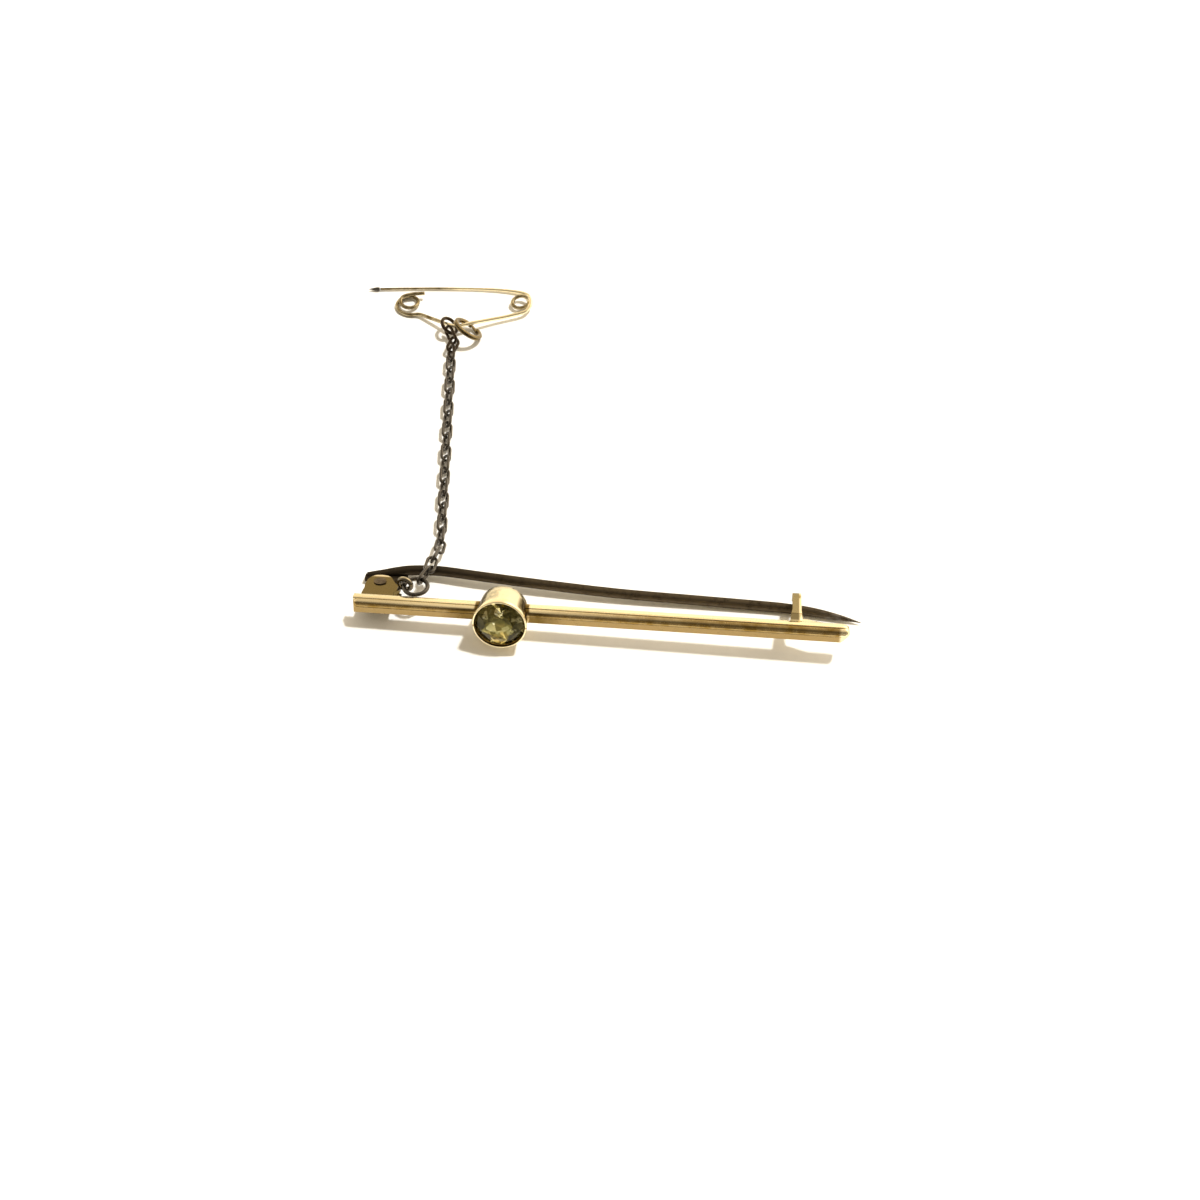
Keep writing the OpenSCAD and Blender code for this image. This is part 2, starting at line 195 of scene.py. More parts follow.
def new_group(name: str, inputs: dict[str, tuple[str, object]],
              outputs: dict[str, str]) -> tuple[bpy.types.NodeTree, Graph]:
    """Starts a shader node group.

    Args:
        name: The group's name.
        inputs: Socket type and default of each named input.
        outputs: Socket type of each named output.

    Returns:
        The group and a graph to fill it with.
    """
    group = bpy.data.node_groups.new(name, "ShaderNodeTree")
    for title, (kind, default) in inputs.items():
        socket = group.interface.new_socket(title, in_out="INPUT", socket_type=kind)
        socket.default_value = default
    for title, kind in outputs.items():
        group.interface.new_socket(title, in_out="OUTPUT", socket_type=kind)
    return group, Graph(group)


class SharedGroups:
    """The node groups that more than one finish uses, each built once."""

    def __init__(self) -> None:
        """Builds every group."""
        self.brooch_axes = self.build_brooch_axes()
        self.worn_metal = self.build_worn_metal()

    def build_brooch_axes(self) -> bpy.types.NodeTree:
        """Builds the group that gives a point's place along the brooch's own axes.

        Returns:
            A group with Along, Up and Out in millimetres from the bar's left end.
        """
        outputs = {name: "NodeSocketFloat" for name in ("Along", "Up", "Out")}
        group, graph = new_group("brooch_axes", {}, outputs)
        origin = tuple(v * MM for v in ATTITUDE.left_end)
        moved = graph.add("VectorMath", {0: graph.place(), 1: origin}, operation="SUBTRACT")
        end = graph.nodes.new("NodeGroupOutput")
        directions = (ATTITUDE.along(), ATTITUDE.up(), ATTITUDE.out())
        for name, direction in zip(outputs, directions):
            dot = graph.add("VectorMath", {0: moved.outputs[0], 1: tuple(direction / MM)},
                            operation="DOT_PRODUCT")
            group.links.new(dot.outputs["Value"], end.inputs[name])
        return group

    def build_worn_metal(self) -> bpy.types.NodeTree:
        """Builds the group for metal with cloudy tarnish, rub marks, fine scratches and painted shade
        from a mask.

        Returns:
            A group with Color, Roughness and Height outputs.
        """
        inputs = {
            "Clean": ("NodeSocketColor", (0.8, 0.6, 0.3, 1)),
            "Tarnish": ("NodeSocketColor", (0.3, 0.2, 0.1, 1)),
            "Cloud Scale": ("NodeSocketFloat", 400.0),
            "Tarnish Share": ("NodeSocketFloat", 0.4),
            "Painted Shade": ("NodeSocketFloat", 0.0),
            "Smooth": ("NodeSocketFloat", 0.15),
            "Rough": ("NodeSocketFloat", 0.4),
            "Pits": ("NodeSocketFloat", 0.3),
        }
        outputs = {"Color": "NodeSocketColor", "Roughness": "NodeSocketFloat",
                   "Height": "NodeSocketFloat"}
        group, graph = new_group("worn_metal", inputs, outputs)
        given = graph.nodes.new("NodeGroupInput").outputs
        place = graph.place()
        # Clouds of tarnish, broken up by fine freckles.
        cloud = graph.noise(place, given["Cloud Scale"], 5.0, 0.6)
        fine_scale = graph.maths("MULTIPLY", given["Cloud Scale"], 7.0)
        fine = graph.noise(place, fine_scale, 3.0, 0.65)
        start = graph.maths("SUBTRACT", 0.78, graph.maths("MULTIPLY", given["Tarnish Share"], 0.5))
        patches = graph.maths("SUBTRACT", cloud, start)
        patches = graph.maths("MULTIPLY", patches, 5.0, clamp=True)
        freckled = graph.maths("MULTIPLY", patches, graph.ramp(fine, 0.3, 0.62), clamp=True)
        # Painted shade from the mask input darkens the metal to the tarnish colour, as the tarnish
        # does.
        dark = graph.maths("MAXIMUM", freckled, given["Painted Shade"], clamp=True)
        colour = graph.blend(dark, given["Clean"], given["Tarnish"])
        # Long strokes of wear, stretched eight times along their run.
        lines = graph.add("Mapping", {"Vector": place, "Rotation": (0.0, 0.2, 0.5),
                                      "Scale": (0.12, 1.0, 1.0)})
        strokes = graph.noise(lines.outputs[0], graph.maths("MULTIPLY", given["Cloud Scale"], 22.0),
                              2.0, 0.5)
        rub = graph.maths("MULTIPLY", graph.ramp(strokes, 0.56, 0.7), 0.35)
        # Roughness, higher in the tarnish, the freckles and the strokes.
        gloss = graph.maths("MAXIMUM", dark, graph.maths("MULTIPLY", graph.ramp(fine, 0.4, 0.75), 0.6))
        gloss = graph.maths("ADD", gloss, rub, clamp=True)
        spread = graph.maths("SUBTRACT", given["Rough"], given["Smooth"])
        roughness = graph.maths("ADD", given["Smooth"], graph.maths("MULTIPLY", gloss, spread))
        # Height, lower in the pits and the strokes.
        pits = graph.maths("MULTIPLY", graph.ramp(fine, 0.62, 0.3), given["Pits"])
        scratches = graph.maths("MULTIPLY", graph.ramp(strokes, 0.6, 0.68), 0.25)
        height = graph.maths("SUBTRACT", 1.0, graph.maths("ADD", pits, scratches))
        end = graph.nodes.new("NodeGroupOutput")
        group.links.new(colour, end.inputs["Color"])
        group.links.new(roughness, end.inputs["Roughness"])
        group.links.new(height, end.inputs["Height"])
        return group


@dataclass(frozen=True)
class MetalFinish:
    """A worn metal.

    Args:
        slot: The record's slot.
        clean: Colour where it is rubbed bright.
        tarnish: Colour where it is dull.
        cloud_scale: Waves a metre of the cloudy tarnish.
        tarnish_share: How much of the surface is dull, from 0 to 1.
        smooth: Roughness where it is rubbed bright.
        rough: Roughness where it is dull.
        pits: Depth of the fine pits, from 0 to 1.
        relief: Height of the pits and scratches, in millimetres.
        metallic: How metallic the surface is.
        edge_shine: Brightness of the shine at grazing angles.
    """

    slot: Finish
    clean: Colour
    tarnish: Colour
    cloud_scale: float = 380.0
    tarnish_share: float = 0.4
    smooth: float = 0.16
    rough: float = 0.42
    pits: float = 0.35
    relief: float = 0.006
    metallic: float = 1.0
    edge_shine: float = 1.0

    def painted_shade_mask(self, graph: Graph, groups: SharedGroups) -> Socket | None:
        """Returns the mask of painted shade in corners and recesses, or nothing."""
        return None

    def build(self, groups: SharedGroups) -> bpy.types.Material:
        """Builds the material.

        Args:
            groups: The shared node groups.

        Returns:
            The finished material.
        """
        material = bpy.data.materials.new(self.slot.value)
        material.use_nodes = True
        graph = Graph(material.node_tree)
        shader = graph.nodes["Principled BSDF"]
        metal = graph.add("Group", node_tree=groups.worn_metal)
        values = {"Clean": rgba(self.clean), "Tarnish": rgba(self.tarnish),
                  "Cloud Scale": self.cloud_scale, "Tarnish Share": self.tarnish_share,
                  "Smooth": self.smooth, "Rough": self.rough, "Pits": self.pits}
        for name, value in values.items():
            metal.inputs[name].default_value = value
        # A finish's painted shade in corners and recesses goes into the metal group.
        mask = self.painted_shade_mask(graph, groups)
        if mask is not None:
            graph.tree.links.new(mask, metal.inputs["Painted Shade"])
        bump = graph.add("Bump", {"Height": metal.outputs["Height"], "Strength": 0.5,
                                  "Distance": self.relief * MM})
        graph.tree.links.new(self.tint(graph, groups, metal.outputs["Color"]),
                             shader.inputs["Base Color"])
        graph.tree.links.new(metal.outputs["Roughness"], shader.inputs["Roughness"])
        graph.tree.links.new(bump.outputs["Normal"], shader.inputs["Normal"])
        shader.inputs["Metallic"].default_value = self.metallic
        shader.inputs["Specular Tint"].default_value = rgba((self.edge_shine,) * 3)
        return material

    def tint(self, graph: Graph, groups: SharedGroups, colour: Socket) -> Socket:
        """Returns the colour, changed where this metal differs from place to place."""
        return colour


@dataclass(frozen=True)
class Zone:
    """A zone of the brooch with soft sides.

    Args:
        sides: Rows of a distance's name, the value at which the zone starts and the value
            from which it is full, in millimetres.
    """

    sides: tuple[tuple[str, float, float], ...]

    def mask(self, graph: Graph, places: Places) -> Socket:
        """Returns the zone's mask, made from the named distances."""
        return graph.product(*(graph.ramp(places[name], start, full)
                               for name, start, full in self.sides))


@dataclass(frozen=True)
class Ball:
    """A soft round zone about a spot.

    Args:
        middle: The spot along, up and out, in millimetres.
        full: Distance up to which the mask is full, in millimetres.
        edge: Distance from which the mask is empty, in millimetres.
    """

    middle: Spot
    full: float
    edge: float

    def mask(self, graph: Graph, places: Places) -> Socket:
        """Returns the mask of the places near the spot."""
        here = graph.add("CombineXYZ", {0: places["Along"], 1: places["Up"], 2: places["Out"]})
        away = graph.add("VectorMath", {0: here.outputs[0], 1: self.middle}, operation="DISTANCE")
        return graph.ramp(away.outputs["Value"], self.edge, self.full)


@dataclass(frozen=True)
class FrameGold(MetalFinish):
    """The frame's gold, with painted reflections and painted shade on the bar, the collet and the hook,
    darker hinge ears and a painted highlight on their rim.

    Lengths are in millimetres along the bar from its left end, up from the strip's middle
    and out in front of it.

    Args:
        shade_brown: Colour of the painted dark reflection on the rib's front.
        collet_shade: Colour of the painted shade on the bar and the collet's sides where they meet, and
            inside the collet over the stone.
        lip: Colour of the painted dim reflection on the strip below the rib, at the left end and on the
            ledge.
        dull: Colour of the hinge ears.
        pale: Colour of the painted highlight on the ears' back rim.
        eye: Colour of the eye at the hinge.
        hook: Colour of the painted shade on the hook's left side, away from the key light.
        rib_up: The rib's middle.
        rib_low: The rib's lower edge.
        collet_at: The collet's axis along the bar.
        collet_r: The collet's radius where it meets the bar.
        right_shade: Where the painted reflections on the rib's top and on the ledge start towards the
            right, and where they are full.
        left_end: Where the painted dim reflection at the left end stops, and where it is strongest.
        left_shade_share: Strength of that painted dim reflection, from 0 to 1.
        low_band: Heights over the rib's middle between which the painted dark reflection fades.
        high_band: The same for the part that grows towards the right.
        ledge_shade_share: Strength of the painted dim reflection on the ledge above the rib, from 0 to
            1.
        waver_scale: Waves a metre by which the bands' edges waver.
        streak_scale: Streaks a metre in the bands.
        speckle_scale: Speckles a metre in the painted shade.
        groove: Painted shade in the groove below the rib.
        corner: Painted shade round the collet where it meets the bar.
        hollow: Painted shade in the hook's hollow.
        rib: The rib's front.
        below: The strip below the rib.
        ledge: The strip above the rib.
        beside: The bar beside the collet.
        sliver: The collet's sides.
        wall: The collet's inside over the stone.
        hook_side: The hook's left side.
        ears: The hinge ears.
        ears_rim: The ears' back rim.
        eye_ball: The eye at the hinge.
    """

    shade_brown: Colour = (0.28, 0.175, 0.042)
    collet_shade: Colour = (0.15, 0.095, 0.024)
    lip: Colour = (0.39, 0.285, 0.14)
    dull: Colour = (0.175, 0.13, 0.052)
    pale: Colour = (0.80, 0.68, 0.45)
    eye: Colour = (0.19, 0.17, 0.14)
    hook: Colour = (0.33, 0.265, 0.135)
    rib_up: float = 0.3
    rib_low: float = -0.2
    collet_at: float = 15.2
    collet_r: float = 2.55
    right_shade: tuple[float, float] = (14.0, 40.0)
    left_end: tuple[float, float] = (10.0, 3.0)
    left_shade_share: float = 0.3
    low_band: tuple[float, float] = (0.34, 0.2)
    high_band: tuple[float, float] = (0.56, 0.5)
    ledge_shade_share: float = 0.65
    waver_scale: float = 160.0
    streak_scale: float = 900.0
    speckle_scale: float = 2600.0
    groove: Zone = Zone((("Groove", 0.13, 0.04), ("Out", 0.25, 0.34), ("Along", 49.1, 48.7)))
    corner: Zone = Zone((("Seam", 0.5, 0.1), ("Depth", 1.2, 0.7), ("Height", 1.25, 0.95)))
    hollow: Ball = Ball((44.7, 1.3, -4.3), 0.3, 0.55)
    rib: Zone = Zone((("Round", 2.7, 2.85), ("Out", 0.3, 0.42), ("Along", 49.25, 48.85)))
    below: Zone = Zone((("Round", 2.7, 2.85), ("Up", -0.24, -0.34), ("Along", 49.3, 48.9)))
    ledge: Zone = Zone((("Round", 2.7, 2.85), ("Up", 0.76, 0.84), ("Out", 0.05, 0.25)))
    beside: Zone = Zone((("Round", 6.8, 3.6),))
    sliver: Zone = Zone((("Aside", 1.6, 1.95), ("Round", 2.9, 2.8), ("Up", 0.0, 0.4),
                         ("Out", 2.2, 1.9), ("Out", -0.4, 0.0)))
    wall: Zone = Zone((("Round", 2.67, 2.61), ("Out", 2.5, 2.45), ("Out", 1.95, 2.05)))
    hook_side: Zone = Zone((("Along", 40.0, 41.0), ("Along", 45.0, 44.85), ("Out", -0.4, -0.7)))
    ears: Zone = Zone((("Along", 4.6, 4.3), ("Out", -0.3, -0.7)))
    ears_rim: Zone = Zone((("Along", 4.6, 4.3), ("Out", -4.05, -4.3)))
    eye_ball: Ball = Ball((4.9, 1.15, -2.2), 0.9, 1.0)

    def places(self, graph: Graph, groups: SharedGroups) -> Places:
        """Works out the distances that the zones are given in.

        Args:
            graph: The material's graph.
            groups: The shared node groups.

        Returns:
            The distances by name, in millimetres. Aside and Round are from the collet's axis,
            Seam from its seam with the bar, Groove from the rib's lower edge, and Depth and
            Height from the strip's middle.
        """
        axes = graph.add("Group", node_tree=groups.brooch_axes).outputs
        along, up, out = (axes[name] for name in ("Along", "Up", "Out"))
        side = graph.maths("SUBTRACT", along, self.collet_at)
        squares = graph.maths("ADD", graph.maths("POWER", side, 2.0), graph.maths("POWER", up, 2.0))
        round_r = graph.maths("SQRT", squares)
        off_seam = graph.maths("SUBTRACT", round_r, self.collet_r)
        off_groove = graph.maths("SUBTRACT", up, self.rib_low)
        places = {"Along": along, "Up": up, "Out": out, "Round": round_r}
        sizes = {"Aside": side, "Seam": off_seam, "Groove": off_groove, "Depth": out, "Height": up}
        for name, distance in sizes.items():
            places[name] = graph.maths("ABSOLUTE", distance)
        return places

    def painted_shade_mask(self, graph: Graph, groups: SharedGroups) -> Socket | None:
        """Makes the mask of painted shade in the groove, round the collet and in the hook's hollow.

        Args:
            graph: The material's graph.
            groups: The shared node groups.

        Returns:
            The mask.
        """
        places = self.places(graph, groups)
        # Painted shade in the groove, round the collet's seam and in the hook's hollow, speckled.
        shade_mask = graph.maths("MAXIMUM", self.groove.mask(graph, places), self.corner.mask(graph, places))
        shade_mask = graph.maths("MAXIMUM", shade_mask, self.hollow.mask(graph, places))
        speckle = graph.ramp(graph.noise(graph.place(), self.speckle_scale), 0.3, 0.6, 0.6, 1.0)
        return graph.maths("MULTIPLY", shade_mask, speckle, clamp=True)

    def tint(self, graph: Graph, groups: SharedGroups, colour: Socket) -> Socket:
        """Adds the painted reflections and shade, the darker hinge ears with a painted highlight on
        their rim and the dark eye to the gold's colour.

        Args:
            graph: The material's graph.
            groups: The shared node groups.
            colour: The worn metal's colour.

        Returns:
            The changed colour.
        """
        places = self.places(graph, groups)
        waver = graph.maths("SUBTRACT", graph.noise(graph.place(), self.waver_scale, 2.0), 0.5)
        streak = graph.noise(graph.place(), self.streak_scale, 4.0)
        streaks = graph.ramp(streak, 0.3, 0.65, 1.0, 0.82)

        def wavered(distance: Socket, reach: float) -> Socket:
            """Returns a distance that wavers a little from place to place."""
            return graph.maths("ADD", distance, graph.maths("MULTIPLY", waver, reach))

        # Painted reflections: dim at the left end, dark on the rib's front and, towards the right, on
        # its top.
        right = graph.ramp(wavered(places["Along"], 16.0), *self.right_shade)
        left = graph.ramp(wavered(places["Along"], 8.0), *self.left_end, 0.0, self.left_shade_share)
        height = wavered(graph.maths("SUBTRACT", places["Up"], self.rib_up), 0.15)
        high = graph.product(graph.ramp(height, *self.high_band), right)
        dark_reflection = graph.maths("MAXIMUM", graph.ramp(height, *self.low_band), high)
        dark_reflection = graph.product(dark_reflection, self.rib.mask(graph, places), streaks)
        # Painted dim reflection on the strip below the rib and, growing towards the right, on the ledge
        # above it.
        below = self.below.mask(graph, places)
        ledge = graph.product(self.ledge.mask(graph, places), right, self.ledge_shade_share)
        # Painted shade on the bar beside the collet, on the collet's sides and inside it over the
        # stone.
        beside = graph.product(graph.maths("MAXIMUM", below, dark_reflection), self.beside.mask(graph, places))
        collet_shaded = graph.maths("MAXIMUM", beside, self.sliver.mask(graph, places))
        collet_shaded = graph.maths("MAXIMUM", graph.product(collet_shaded, streaks), self.wall.mask(graph, places))
        # Layers: painted dim reflections, painted dark reflection on the rib, painted shade at the
        # collet and on the hook's left side, the darker ears, a painted highlight on their rim, the
        # eye's own dark colour.
        layers = (
            (left, self.lip),
            (below, self.lip),
            (ledge, self.lip),
            (dark_reflection, self.shade_brown),
            (collet_shaded, self.collet_shade),
            (self.hook_side.mask(graph, places), self.hook),
            (self.ears.mask(graph, places), self.dull),
            (self.ears_rim.mask(graph, places), self.pale),
            (self.eye_ball.mask(graph, places), self.eye),
        )
        for share, shade in layers:
            colour = graph.blend(share, colour, rgba(shade))
        return colour


@dataclass(frozen=True)
class PinSteel(MetalFinish):
    """The pin's brownish steel, dark at the root and brighter in patches at the tip.

    Args:
        bright: Colour of the brighter patches at the tip.
        dark: Colour of the root.
        root_to: Where the dark root ends along the bar, in millimetres.
        root_share: How dark the root is, from 0 to 1.
        tip_from: Where the tip starts to brighten along the bar, in millimetres.
        tip_to: Where the tip is brightest along the bar, in millimetres.
        patch_scale: Bright patches a metre at the tip.
    """

    bright: Colour = (0.16, 0.14, 0.12)
    dark: Colour = (0.04, 0.031, 0.022)
    root_to: float = 20.0
    root_share: float = 0.8
    tip_from: float = 46.6
    tip_to: float = 49.4
    patch_scale: float = 1500.0

    def tint(self, graph: Graph, groups: SharedGroups, colour: Socket) -> Socket:
        """Darkens the steel at the root and brightens it in patches at the tip.

        Args:
            graph: The material's graph.
            groups: The shared node groups.
            colour: The worn metal's colour.

        Returns:
            The changed colour.
        """
        axes = graph.add("Group", node_tree=groups.brooch_axes).outputs
        root = graph.ramp(axes["Along"], self.root_to, self.root_to / 3, 0.0, self.root_share)
        colour = graph.blend(root, colour, rgba(self.dark))
        tip = graph.ramp(axes["Along"], self.tip_from, self.tip_to)
        patchy = graph.ramp(graph.noise(graph.place(), self.patch_scale, 4.0), 0.35, 0.6)
        return graph.blend(graph.maths("MULTIPLY", tip, patchy), colour, rgba(self.bright))


@dataclass(frozen=True)
class PinGold(MetalFinish):
    """The safety pin's gold, with painted shade at its left coil and inside its right one.

    Args:
        shade_brown: Colour of the painted shade on the coils.
        shade_full_x: Where the painted shade towards the left coil is full, in millimetres along X.
        coil_at: Middle of the right coil in X and Y, in millimetres.
        coil_r: Radius of the painted shade inside the right coil, in millimetres.
        coil_fade: Width over which that painted shade fades, in millimetres.
        shade_start_x: Where the plain gold ends and the painted shade towards the left coil starts, in
            millimetres along X.
        patch_scale: Patches a metre in the painted shade.
    """

    shade_brown: Colour = (0.18, 0.13, 0.055)
    shade_full_x: float = -20.4
    coil_at: tuple[float, float] = (-10.94, 22.78)
    coil_r: float = 1.15
    coil_fade: float = 0.15
    shade_start_x: float = -18.0
    patch_scale: float = 1100.0

    def tint(self, graph: Graph, groups: SharedGroups, colour: Socket) -> Socket:
        """Paints shade onto the wire towards the left coil and inside the right one.

        Args:
            graph: The material's graph.
            groups: The shared node groups.
            colour: The worn metal's colour.

        Returns:
            The changed colour.
        """
        place = graph.add("SeparateXYZ", {0: graph.place()}).outputs
        # Painted shade towards the left coil and inside the right coil, broken into patches.
        left = graph.ramp(place["X"], self.shade_start_x * MM, self.shade_full_x * MM)
        flat = graph.add("CombineXYZ", {0: place["X"], 1: place["Y"]})
        middle = tuple(v * MM for v in self.coil_at) + (0.0,)
        away = graph.add("VectorMath", {0: flat.outputs[0], 1: middle}, operation="DISTANCE")
        full_r = self.coil_r - self.coil_fade
        inside = graph.ramp(away.outputs["Value"], self.coil_r * MM, full_r * MM)
        left = graph.maths("MAXIMUM", left, inside)
        patchy = graph.ramp(graph.noise(graph.place(), self.patch_scale, 4.0), 0.3, 0.6, 1.0, 0.6)
        return graph.blend(graph.maths("MULTIPLY", left, patchy), colour, rgba(self.shade_brown))


@dataclass(frozen=True)
class ChainSilver(MetalFinish):
    """The chain's dark silver, browned where the chain meets the safety pin.

    Args:
        shade_brown: Colour of the painted shade at that end.
        shade_from_y: Where the painted shade starts, in millimetres along Y.
        shade_full_y: Where the painted shade is full, in millimetres along Y.
    """

    shade_brown: Colour = (0.05, 0.036, 0.023)
    shade_from_y: float = 12.5
    shade_full_y: float = 15.0

    def tint(self, graph: Graph, groups: SharedGroups, colour: Socket) -> Socket:
        """Paints shade onto the silver towards the safety pin.

        Args:
            graph: The material's graph.
            groups: The shared node groups.
            colour: The worn metal's colour.

        Returns:
            The changed colour.
        """
        # Painted shade where the links and rings crowd together at the safety pin.
        far = graph.add("SeparateXYZ", {0: graph.place()}).outputs["Y"]
        end = graph.ramp(far, self.shade_from_y * MM, self.shade_full_y * MM)
        return graph.blend(end, colour, rgba(self.shade_brown))


@dataclass(frozen=True)
class StoneFinish:
    """The olive green stone, clear with warm clouds, painted shade over its upper half and painted
    flashes of reflection.

    Args:
        slot: The record's slot.
        body: Main colour.
        warm: Colour of the brown clouds.
        shade_deep: Colour of the painted shade over the upper half and of the painted dark flashes.
        pale: Colour of the painted pale flashes of reflected light.
        cloud_scale: Brown clouds a metre.
        wave_scale: Waves a metre in the edge of the painted shade.
        shade_heights: Heights above the stone's middle between which the painted shade comes in, in
            millimetres.
        flash_scale: Painted light and dark flashes of reflection a metre.
        dark_tones: Random tones of the flashes that start to be dark and are darkest.
        pale_tones: Random tones of the flashes that start to be pale and are palest.
        ior: Index of refraction.
        roughness: Roughness of the facets, which is three times as much where they are worn.
        wear_scale: Worn spots a metre.
        shine: Strength of the facets' shine, 0.5 being plain.
        sheen: Colour of the facets' shine.
    """

    slot: Finish = Finish.STONE
    body: Colour = (0.62, 0.58, 0.22)
    warm: Colour = (0.50, 0.36, 0.11)
    shade_deep: Colour = (0.07, 0.06, 0.015)
    pale: Colour = (1.0, 1.0, 0.72)
    cloud_scale: float = 700.0
    wave_scale: float = 900.0
    shade_heights: tuple[float, float] = (-0.5, 0.2)
    flash_scale: float = 1500.0
    dark_tones: tuple[float, float] = (0.35, 0.1)
    pale_tones: tuple[float, float] = (0.84, 0.88)
    ior: float = 1.62
    roughness: float = 0.03
    wear_scale: float = 5000.0
    shine: float = 0.3
    sheen: Colour = (0.3, 0.28, 0.12)

    def build(self, groups: SharedGroups) -> bpy.types.Material:
        """Builds the material.

        Args:
            groups: The shared node groups.

        Returns:
            The finished material.
        """
        material = bpy.data.materials.new(self.slot.value)
        material.use_nodes = True
        graph = Graph(material.node_tree)
        shader = graph.nodes["Principled BSDF"]
        clouds = graph.ramp(graph.noise(graph.place(), self.cloud_scale, 3.0), 0.4, 0.62)
        colour = graph.blend(clouds, rgba(self.body), rgba(self.warm))
        axes = graph.add("Group", node_tree=groups.brooch_axes).outputs
        # Painted shade over the upper half, with a wavy edge.
        wavy = graph.maths("ADD", axes["Up"], graph.noise(graph.place(), self.wave_scale, 2.0))
        colour = graph.blend(graph.ramp(wavy, *self.shade_heights), colour, rgba(self.shade_deep))
        # Painted dark and pale flashes of reflection, one random tone for each cell.
        cells = graph.add("TexVoronoi", {"Vector": graph.place(), "Scale": self.flash_scale})
        tone = graph.add("SeparateXYZ", {0: cells.outputs["Color"]}).outputs["X"]
        colour = graph.blend(graph.ramp(tone, *self.dark_tones), colour, rgba(self.shade_deep))
        colour = graph.blend(graph.ramp(tone, *self.pale_tones), colour, rgba(self.pale))
        wear = graph.ramp(graph.noise(graph.place(), self.wear_scale, 2.0), 0.35, 0.7,
                          self.roughness, self.roughness * 3)
        graph.tree.links.new(colour, shader.inputs["Base Color"])
        graph.tree.links.new(wear, shader.inputs["Roughness"])
        shader.inputs["Metallic"].default_value = 0.0
        shader.inputs["Transmission Weight"].default_value = 1.0
        shader.inputs["IOR"].default_value = self.ior
        shader.inputs["Specular IOR Level"].default_value = self.shine
        shader.inputs["Specular Tint"].default_value = rgba(self.sheen)
        return material


@dataclass(frozen=True)
class Palette:
    """Every finish of the brooch.

    Args:
        finishes: The finishes in the order in which they are built.
    """

    finishes: tuple[MetalFinish | StoneFinish, ...] = (
        FrameGold(Finish.GOLD, clean=(1.0, 0.86, 0.55), tarnish=(0.42, 0.29, 0.11),
                  cloud_scale=330.0, tarnish_share=0.2, smooth=0.17, rough=0.40, edge_shine=0.5),
        StoneFinish(),
        MetalFinish(Finish.RIVET_GOLD, clean=(0.14, 0.10, 0.055), tarnish=(0.06, 0.042, 0.02),
                    cloud_scale=900.0, tarnish_share=0.7, smooth=0.28, rough=0.5),
        PinSteel(Finish.PIN_STEEL, clean=(0.088, 0.068, 0.044), tarnish=(0.036, 0.027, 0.016),
                 cloud_scale=1400.0, tarnish_share=0.6, smooth=0.36, rough=0.6, pits=0.6,
                 relief=0.012, metallic=0.9, edge_shine=0.25),
        ChainSilver(Finish.DARK_SILVER, clean=(0.10, 0.09, 0.078), tarnish=(0.032, 0.027, 0.023),
                    cloud_scale=900.0, tarnish_share=0.55, smooth=0.2, rough=0.48, pits=0.5,
                    relief=0.008),
        MetalFinish(Finish.RING_GOLD, clean=(0.25, 0.19, 0.095), tarnish=(0.115, 0.08, 0.038),
                    cloud_scale=800.0, tarnish_share=0.6, smooth=0.2, rough=0.45, pits=0.4,
                    relief=0.006),
        PinGold(Finish.PIN_GOLD, clean=(1.0, 0.88, 0.60), tarnish=(0.60, 0.45, 0.22),
                cloud_scale=500.0, tarnish_share=0.35, smooth=0.16, rough=0.38, pits=0.35,
                relief=0.005),
        MetalFinish(Finish.POINT_STEEL, clean=(0.10, 0.09, 0.08), tarnish=(0.035, 0.03, 0.025),
                    cloud_scale=1200.0, tarnish_share=0.5, smooth=0.28, rough=0.5, pits=0.5,
                    relief=0.006),
    )

    def build(self, groups: SharedGroups) -> dict[Finish, bpy.types.Material]:
        """Builds every material.

        Args:
            groups: The shared node groups.

        Returns:
            The materials by their finish.
        """
        return {finish.slot: finish.build(groups) for finish in self.finishes}


def dress(piece: bpy.types.Object, material: bpy.types.Material) -> bpy.types.Object:
    """Gives a piece one material in place of its own.

    Args:
        piece: The piece.
        material: Its new material.

    Returns:
        The same piece.
    """
    piece.data.materials.clear()
    piece.data.materials.append(material)
    for polygon in piece.data.polygons:
        polygon.material_index = 0
    return piece


def lofted(name: str, rings: list[list[Vector]]) -> bpy.types.Object:
    """Makes a closed piece through rings of points.

    Args:
        name: Name of the piece.
        rings: Rings of the same number of points each, in metres.

    Returns:
        The closed mesh object.
    """
    mesh = bmesh.new()
    made = [[mesh.verts.new(point) for point in ring] for ring in rings]
    sides = len(rings[0])
    for near, far in zip(made, made[1:]):
        for k in range(sides):
            after = (k + 1) % sides
            mesh.faces.new((near[k], near[after], far[after], far[k]))
    mesh.faces.new(list(reversed(made[0])))
    mesh.faces.new(made[-1])
    return finished(name, mesh)


def finished(name: str, mesh: bmesh.types.BMesh, sharp: float = 40.0) -> bpy.types.Object:
    """Turns a bmesh into a smooth-shaded object in the scene.

    Args:
        name: Name of the piece.
        mesh: The mesh, which is freed.
        sharp: Edges steeper than this angle, in degrees, stay sharp.

    Returns:
        The new object.
    """
    bmesh.ops.recalc_face_normals(mesh, faces=mesh.faces)
    data = bpy.data.meshes.new(name)
    mesh.to_mesh(data)
    mesh.free()
    data.shade_smooth()
    data.set_sharp_from_angle(angle=math.radians(sharp))
    piece = bpy.data.objects.new(name, data)
    bpy.context.scene.collection.objects.link(piece)
    return piece


